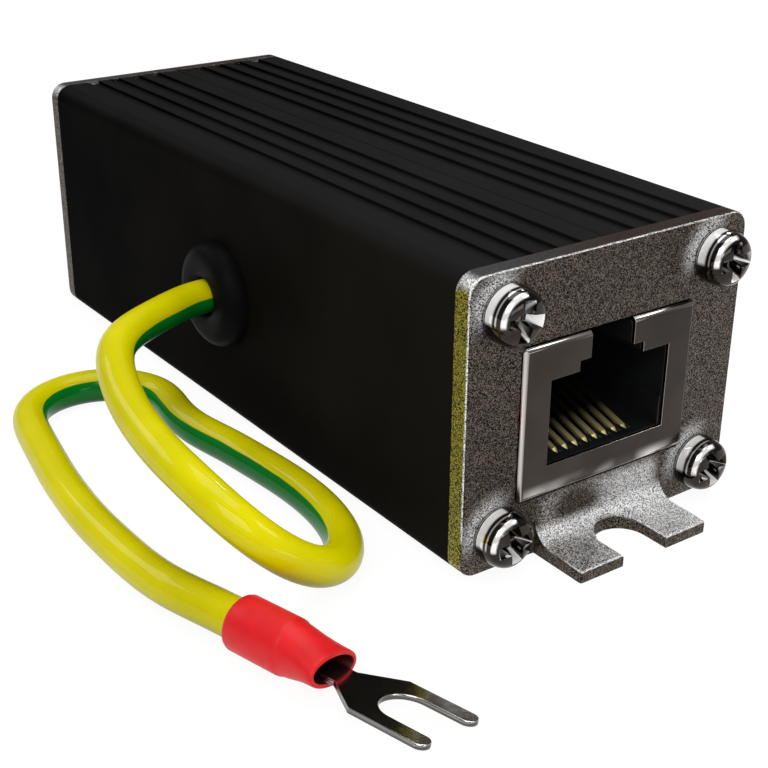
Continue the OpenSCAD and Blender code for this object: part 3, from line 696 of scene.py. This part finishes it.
# Painted shade: the case is painted blacker towards the back, over a soft random tone, and its sides, which
# are smoother than the top, get a painted shade of their own
along = apart(anodised, place_on(anodised))[1]
lit_toward_front = math_node(anodised, "MULTIPLY_ADD", along, -12.0, noise(anodised, 90.0, 5.0))
top_black = ramp(anodised, lit_toward_front, [(0.1, "#0A0A0A"), (0.9, "#151516")])
side_black = ramp(anodised, lit_toward_front, [(0.1, "#040404"), (0.9, "#181613")])
side_on = rise(anodised, facing(anodised)[0], 0.5, 0.95)
feed(anodised_shader, "Base Color", blend(anodised, side_on, top_black, side_black))
TOP_GLOSS, SIDE_GLOSS = 0.032, 0.004
gloss = math_node(anodised, "MULTIPLY_ADD", side_on, SIDE_GLOSS - TOP_GLOSS, TOP_GLOSS)
feed(anodised_shader, "Specular IOR Level", gloss)
# Drawn lines run along the profile, over a fine etched grain
lines = bump(anodised, anodised_shader, drawn_out(anodised, (9000.0, 120.0, 9000.0)), 0.000004, 0.6)
bump(anodised, anodised_shader, noise(anodised, 9000.0, 1.0), 0.000006, 0.6, lines)
wear(anodised, "housing", case)
print("case faces:", len(case.data.polygons))

# %% [markdown]
# ## The end plates
#
# Each is a sand-blasted and nickel-plated casting with a foot, dark and
# sparkling, with painted highlights beside the screws. The shape is the CAD's
# with softened edges, and the outer outline gets a wider round, as a casting
# has. The painted highlights could be drawn in an image, but here the shader
# finds each one from where it lies on the plate, so both plates share one
# finish and nothing is stored.

# %% The plates' shape
case_low, case_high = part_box("housing")
middle_z = (case_low.z + case_high.z) / 2
CORNER_R, FOOT_OUT, HAIR = 1.5 * MM, 5.3 * MM, 0.01 * MM
plate_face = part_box("rear_plate")[1].y - FOOT_OUT


def outline(spot):
    """Holds on the outer face's rounded outline and on the foot's upper edges."""
    past_x = max(abs(spot.x) - (case_high.x - CORNER_R), 0)
    past_z = max(abs(spot.z - middle_z) - (case_high.z - middle_z - CORNER_R), 0)
    on_face = abs(abs(spot.y) - plate_face) < HAIR and math.hypot(past_x, past_z) > CORNER_R - 2 * HAIR
    on_foot = abs(spot.y) > plate_face + 2.1 * MM and abs(spot.z - MM) < HAIR
    return on_face or on_foot


plates = soften_pair("plate", "nickel", 0.14, wider=outline)
print("plates:", [len(plate.data.polygons) for plate in plates])

# %% Where a point lies on a plate
nickel, nickel_shader = finish_named("sandblasted_nickel", {"Metallic": 1.0})
at = place_on(nickel)
at_x, at_y, at_z = apart(nickel, at)
# The rear plate is the front one turned round, so left and right change places there
to_viewer = product(nickel, math_node(nickel, "SIGN", at_y), -1.0)
plate_x = product(nickel, at_x, to_viewer)
flat_x, flat_y, _, upward = facing(nickel)
# A ramp's places lie between 0 and 1, so lengths come to it in centimetres
TO_CM = 100.0
height = product(nickel, at_z, TO_CM)
aside = product(nickel, math_node(nickel, "ABSOLUTE", at_x), TO_CM)
low_down = fall(nickel, height, 0.30, 0.36)
print("places on a plate come from", at.name, "in centimetres:", TO_CM)

# %% Dark and light grains
# Each grain of the blasted skin has its own shade
cells = add(nickel, "TexVoronoi", {"Vector": at, "Scale": 17500.0})
sand = add(nickel, "SeparateColor", {0: cells.outputs["Color"]}).outputs[0]
dark = ramp(nickel, sand, [(0.35, "#000000"), (0.55, "#12100D"), (0.8, "#8A7D71")])
# Painted light on the grains: paler grains, brighter towards the right of the plate
light_left = ramp(nickel, sand, [(0.2, "#000000"), (0.5, "#4A4846"), (0.8, "#DEDAD6")])
light_right = ramp(nickel, sand, [(0.15, "#060606"), (0.4, "#C8C6C4"), (0.7, "#FFFFFF")])
to_right = math_node(nickel, "MULTIPLY_ADD", plate_x, 50.0, noise(nickel, 170.0, 1.0, at))
light = blend(nickel, rise(nickel, to_right, 0.3, 0.65), light_left, light_right)
# Painted light: the top of the foot is painted light, and so is the face between the foot and the socket
painted_light_low = product(nickel, low_down, rise(nickel, upward, 0.25, 0.9))
root = product(nickel, fall(nickel, aside, 0.54, 0.66),
               ramp(nickel, height, [(0.105, 0.0), (0.115, 0.8), (0.40, 0.8), (0.5, 0.0)]),
               rise(nickel, flat_y, 0.3, 0.8))
# But for one painted dark reflection, an egg shape round this place
PATCH_AT, PATCH_SHRINK = (-0.0024, 0.0345, 0.0030), (330.0, 250.0, 480.0)
outward = math_node(nickel, "ABSOLUTE", at_y)
spot = add(nickel, "CombineXYZ", {"X": plate_x, "Y": outward, "Z": at_z}).outputs[0]
from_patch = vector_node(nickel, "MULTIPLY", vector_node(nickel, "SUBTRACT", spot, PATCH_AT), PATCH_SHRINK)
off_painted_dark_spot = rise(nickel, vector_node(nickel, "LENGTH", from_patch), 0.45, 1.0, "EASE")
painted_light_low = product(nickel, math_node(nickel, "MAXIMUM", painted_light_low, root), off_painted_dark_spot)
grains = blend(nickel, painted_light_low, dark, light)
print("grains per metre:", cells.inputs["Scale"].default_value)

# %% A painted wire reflection, milled sides and painted edge highlights
# The side next to the wire's loop is painted with a yellow reflection of the wire
painted_wire_reflection = product(nickel, rise(nickel, flat_x, 0.8, 0.95), math_node(nickel, "LESS_THAN", at_x, -0.013),
                math_node(nickel, "LESS_THAN", at_y, 0.0))
wire_reflection_grains = ramp(nickel, sand, [(0.3, "#030200"), (0.55, "#443F0C"), (0.8, "#CBC138")])
grains = blend(nickel, painted_wire_reflection, grains, wire_reflection_grains)
# The edges all round the plate were milled after blasting: smooth, grey to brown
milled = product(nickel, fall(nickel, flat_y, 0.05, 0.35), without(nickel, low_down),
                 rise(nickel, upward, 0.3, 0.8))
across = math_node(nickel, "MULTIPLY_ADD", at_x, 37.0, 0.5)
grains = blend(nickel, milled, grains, ramp(nickel, across, [(0.0, "#4A4A4C"), (0.5, "#33241F")]))
# Round edges are painted bright as highlights, but not the foot's upright corners
edge_highlight = math_node(nickel, "MAXIMUM", rise(nickel, upward, 0.1, 0.4), without(nickel, low_down))
edge_highlight_grains = ramp(nickel, sand, [(0.1, "#1E1C1B"), (0.6, "#FFFFFF")])
grains = blend(nickel, product(nickel, edge_highlight, bends(nickel)), grains, edge_highlight_grains)
print("plate sides and edges are set")

# %% Painted highlights beside the screws
# Beside each screw, towards the upper left, a sparkling highlight is painted on the casting
SCREW_X, SCREW_EDGE = case_high.x - 3.3 * MM, 3.05 * MM
SCREW_UP = middle_z - SCREW_EDGE


def from_nearer(value, distance):
    """How far a value lies from the nearer of the distance and its opposite."""
    return math_node(nickel, "SUBTRACT", value, product(nickel, math_node(nickel, "SIGN", value), distance))


seat_x = from_nearer(plate_x, SCREW_X)
seat_z = from_nearer(math_node(nickel, "SUBTRACT", at_z, middle_z), SCREW_UP)
seat = add(nickel, "CombineXYZ", {"X": seat_x, "Y": seat_z}).outputs[0]
reach = vector_node(nickel, "LENGTH", seat)
toward = math_node(nickel, "DIVIDE", vector_node(nickel, "DOT_PRODUCT", seat, (-0.7, 0.7, 0.0)), reach)
painted_screw_glint = product(nickel, fall(nickel, product(nickel, reach, 2 * TO_CM), 0.40, 0.80, "EASE"),
                    rise(nickel, toward, 0.1, 0.9, "EASE"), rise(nickel, flat_y, 0.8, 0.95))
sparkle = ramp(nickel, sand, [(0.3, "#060505"), (0.55, "#FFFFFF")])
feed(nickel_shader, "Base Color", blend(nickel, painted_screw_glint, grains, sparkle))
# The painted highlights and the painted light low down scatter the light like a pale powder
powdery = math_node(nickel, "MAXIMUM", painted_light_low, painted_screw_glint)
feed(nickel_shader, "Metallic", without(nickel, product(nickel, powdery, 0.6)))
rough = ramp(nickel, sand, [(0.0, 0.55), (1.0, 0.3)])
feed(nickel_shader, "Roughness", math_node(nickel, "MAXIMUM", rough, product(nickel, powdery, 0.7)))
bump(nickel, nickel_shader, cells.outputs["Distance"], 0.00004, 1.0)
wear(nickel, "plate", *plates)
print("plate finish:", nickel.name)

# %% [markdown]
# ## The plate screws
#
# Four pan head screws hold each plate. A head is a ring-built body with a
# rounded shoulder and an almost flat face, and a cross recess is cut from it
# with two tapered bars and a cone. The recess could be drawn as dark lines, but
# only a real hollow mirrors the lamps on its slopes. One screw is made and then
# copied.

# %% One screw's body
THREADS, PITCH = 17, 0.45
# Place outward from the plate's face and radius, in mm: tip, thread rings, neck, wall, shoulder, face
profile = [(-9.0, 0.4), (-8.6, 0.8)]
for ring in range(THREADS):
    profile += [(-8.4 + ring * PITCH, 0.98), (-8.175 + ring * PITCH, 0.82)]
profile += [(-0.5, 0.98), (0.0, 0.98), (0.0, 2.05), (0.05, 2.14), (0.15, 2.19), (0.5, 2.21), (0.85, 2.2)]
profile += [(1.2, 2.17), (1.5, 2.11), (1.78, 2.02), (1.98, 1.9), (2.13, 1.73), (2.24, 1.5), (2.34, 1.15)]
profile += [(2.41, 0.7), (2.45, 0.3), (2.45, 0.1)]
HEAD_H = profile[-1][0]
screw = ringed("screw", [(x, r, r) for x, r in profile], 64, closed=False)
print("screw body faces:", len(screw.data.polygons))

# %% The cross recess
BAR_DEPTH, CONE_DEPTH = 1.3, 1.45
CUTTER_H = 2.0


def bar(width, length, taper):
    """A cutting bar for the recess, in mm, narrower towards its bottom."""
    only(None)
    bpy.ops.mesh.primitive_cube_add(size=1)
    piece = bpy.context.object
    piece.scale = (CUTTER_H * MM, length * MM, width * MM)
    piece.location = ((HEAD_H - BAR_DEPTH + CUTTER_H / 2) * MM, 0, 0)
    settle(piece)
    edit(piece)
    pick(piece, "polygons", lambda face: face.normal.x < -0.9)
    bpy.ops.transform.resize(value=(1, taper, taper), center_override=tuple(piece.location))
    bpy.ops.object.mode_set(mode="OBJECT")
    return piece


def cut(piece, cutter):
    """Takes the cutter's shape out of a piece and throws the cutter away."""
    modify(piece, "BOOLEAN", operation="DIFFERENCE", object=cutter, solver="EXACT")
    bpy.data.objects.remove(cutter)


for turn in (0, 90):
    cutter = bar(1.4, 4.4, 0.36)
    cutter.rotation_euler = (math.radians(turn), 0, 0)
    cut(screw, settle(cutter))
only(None)
bpy.ops.mesh.primitive_cone_add(vertices=32, radius1=0.3 * MM, radius2=0.95 * MM, depth=CUTTER_H * MM,
                                rotation=(0, math.pi / 2, 0))
cone = bpy.context.object
cone.location = ((HEAD_H - CONE_DEPTH + CUTTER_H / 2) * MM, 0, 0)
cut(screw, settle(cone))
modify(screw, "BEVEL", width=0.04 * MM, segments=2, limit_method="ANGLE",
       angle_limit=math.radians(38), use_clamp_overlap=True)
print("screw faces:", len(screw.data.polygons))

# %% The screws' chrome
chrome, chrome_shader = finish_named("bright_chrome", {"Roughness": 0.08})
cloud, dim = cloudy(chrome, 900.0, 3.0, "#2E2A27", "#3E3935")
# Painted highlights: what faces the upper left is painted bright, a band low on the wall, one on the
# shoulder, and slopes of the recess
to_x, to_y, to_z = apart(chrome, add(chrome, "TexCoord").outputs["Normal"])
flat_y = math_node(chrome, "ABSOLUTE", to_y)
at_rear = math_node(chrome, "SIGN", apart(chrome, place_on(chrome))[1])
lean = math_node(chrome, "MULTIPLY_ADD", to_x, at_rear, to_z)
tilt = math_node(chrome, "SQRT", without(chrome, product(chrome, flat_y, flat_y)))
lean = math_node(chrome, "DIVIDE", lean, math_node(chrome, "MAXIMUM", tilt, 0.05))
painted_highlight_band = product(chrome, rise(chrome, lean, 0.85, 1.05), ramp(chrome, flat_y, [
    (0.09, 1.0), (0.13, 0.0), (0.17, 0.0), (0.21, 0.7), (0.25, 0.0),
    (0.4, 0.0), (0.48, 1.0), (0.76, 1.0), (0.86, 0.0)]))
feed(chrome_shader, "Base Color", blend(chrome, painted_highlight_band, dim, "#FAF8F6"))
feed(chrome_shader, "Metallic", math_node(chrome, "MULTIPLY_ADD", painted_highlight_band, -0.6, 1.0))
bump(chrome, chrome_shader, cloud, 0.00002, 0.3)
print("screw finish:", chrome.name)

# %% Eight screws
# How far each screw of a plate was turned home, in degrees
TURNS = (10, -9, 15, 5)
places = [(x, z) for x in (-SCREW_X, SCREW_X) for z in (SCREW_EDGE, case_high.z - SCREW_EDGE)]
for end, side in (("front", -1), ("rear", 1)):
    group = []
    faced = Matrix.Rotation(side * math.pi / 2, 4, "Z")
    for (x, z), turn in zip(places, TURNS):
        twin = bpy.data.objects.new("screw_copy", screw.data.copy())
        bpy.context.scene.collection.objects.link(twin)
        turned = faced @ Matrix.Rotation(math.radians(turn), 4, "X")
        group.append(stand(twin, Vector((x, side * plate_face, z)), turned))
    only(group[0])
    for twin in group:
        twin.select_set(True)
    bpy.ops.object.join()
    screws = bpy.context.object
    screws.name = screws.data.name = end + "_screws_chrome"
    smooth(screws, 30)
    stands_for(screws, end + "_screws")
    wear(chrome, "screws", screws)
    print(screws.name, len(screws.data.polygons))
bpy.data.objects.remove(screw)

# %% [markdown]
# ## The sockets
#
# A socket is a moulded black insert with eight bent contact wires, in a folded
# shield of smooth nickel-plated sheet. Boxes with a dark hole would look alike
# from afar, but a plug has to fit, so the CAD source has the cavity, the latch
# slot and each wire. They are softened like the plates.

# %% The shields
shields = soften_pair("jack_shield", "sheet", 0.05)
sheet, sheet_shader = finish_named("smooth_nickel_sheet", {"Metallic": 1.0, "Roughness": 0.18})
_, smooth_sheet = cloudy(sheet, 250.0, 3.0, "#36312D", "#413B36")
# Soft painted highlights lie in spots along the lower bar's edge
height = product(sheet, apart(sheet, place_on(sheet))[2], TO_CM)
spots = ramp(sheet, noise(sheet, 230.0, 1.0), [(0.44, 0.05), (0.64, 1.0)])
spots = product(sheet, spots, fall(sheet, height, 0.49, 0.62, "EASE"))
smooth_sheet = blend(sheet, spots, smooth_sheet, "#ECE9E6")
# The bends are painted light, as highlights
feed(sheet_shader, "Base Color", blend(sheet, bends(sheet), smooth_sheet, "#C4BDB8"))
bump(sheet, sheet_shader, drawn_out(sheet, (400.0, 400.0, 12000.0)), 0.000003, 0.5)
wear(sheet, "shield", *shields)
print("shields:", [shield.name for shield in shields])

# %% The inserts
inserts = soften_pair("jack_body", "moulded", 0.06)
nylon, nylon_shader = finish_named("black_moulded_nylon", {"Roughness": 0.35, "Specular IOR Level": 0.35})
cloud, moulded = cloudy(nylon, 600.0, 3.0, "#0E0F10", "#17181A")
feed(nylon_shader, "Base Color", moulded)
bump(nylon, nylon_shader, cloud, 0.00001, 0.4)
wear(nylon, "insert", *inserts)
print("inserts:", [insert.name for insert in inserts])

# %% The contacts
contacts = soften_pair("jack_contacts", "gold", 0.05)
gold, gold_shader = finish_named("gold_plated_wire", {"Metallic": 0.6, "Roughness": 0.35})
cloud, bright = cloudy(gold, 800.0, 3.0, "#B6A86E", "#CBBE88")
# Deep in the socket, from 32.5 down to 29.75 mm from the middle, the wires are painted dark as shade
TWENTIETHS = 20.0
depth = product(gold, math_node(gold, "ABSOLUTE", apart(gold, place_on(gold))[1]), TWENTIETHS)
feed(gold_shader, "Base Color", blend(gold, rise(gold, depth, 0.595, 0.65), "#1C1A10", bright))
bump(gold, gold_shader, cloud, 0.00001, 0.4)
wear(gold, "contacts", *contacts)
print("contacts:", [wires.name for wires in contacts])

# %% [markdown]
# ## Inside the case
#
# The board carries four ceramic surge tubes, two diode arrays and the earth
# post. They are hidden in the photograph and keep their CAD shapes, so each
# gets only its finish.

# %% Finishes of the inside
def dress(material, *nodes):
    """Gives CAD nodes a material in place of their own."""
    for node in nodes:
        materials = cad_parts[node].data.materials
        materials.clear()
        materials.append(material)


board, board_shader = finish_named("green_solder_mask", {"Roughness": 0.35})
bricks = add(board, "TexBrick", {"Vector": place_on(board), "Scale": 300.0, "Mortar Size": 0.04})
tracks = bricks.outputs["Fac"]
feed(board_shader, "Base Color", ramp(board, tracks, [(0.2, "#0F5A2E"), (0.8, "#1C7A42")]))
bump(board, board_shader, tracks, 0.00003, 0.5)
dress(board, "circuit_board")

ceramic, ceramic_shader = finish_named("glazed_ceramic", {"Roughness": 0.3})
feed(ceramic_shader, "Base Color", cloudy(ceramic, 700.0, 4.0, "#D9D2C4", "#EDE8DC")[1])
dress(ceramic, "gas_tube_1", "gas_tube_2", "gas_tube_3", "gas_tube_4")

epoxy, epoxy_shader = finish_named("black_epoxy_case", {"Roughness": 0.5})
feed(epoxy_shader, "Base Color", cloudy(epoxy, 4000.0, 2.0, "#161616", "#202021")[1])
dress(epoxy, "diode_array_1", "diode_array_2")

brass, brass_shader = finish_named("turned_brass", {"Metallic": 1.0, "Roughness": 0.25})
rings = drawn_out(brass, (300.0, 300.0, 9000.0))
feed(brass_shader, "Base Color", ramp(brass, rings, [(0.3, "#B08B3C"), (0.7, "#D0AC58")]))
dress(brass, "earth_post")
print("inside dressed")
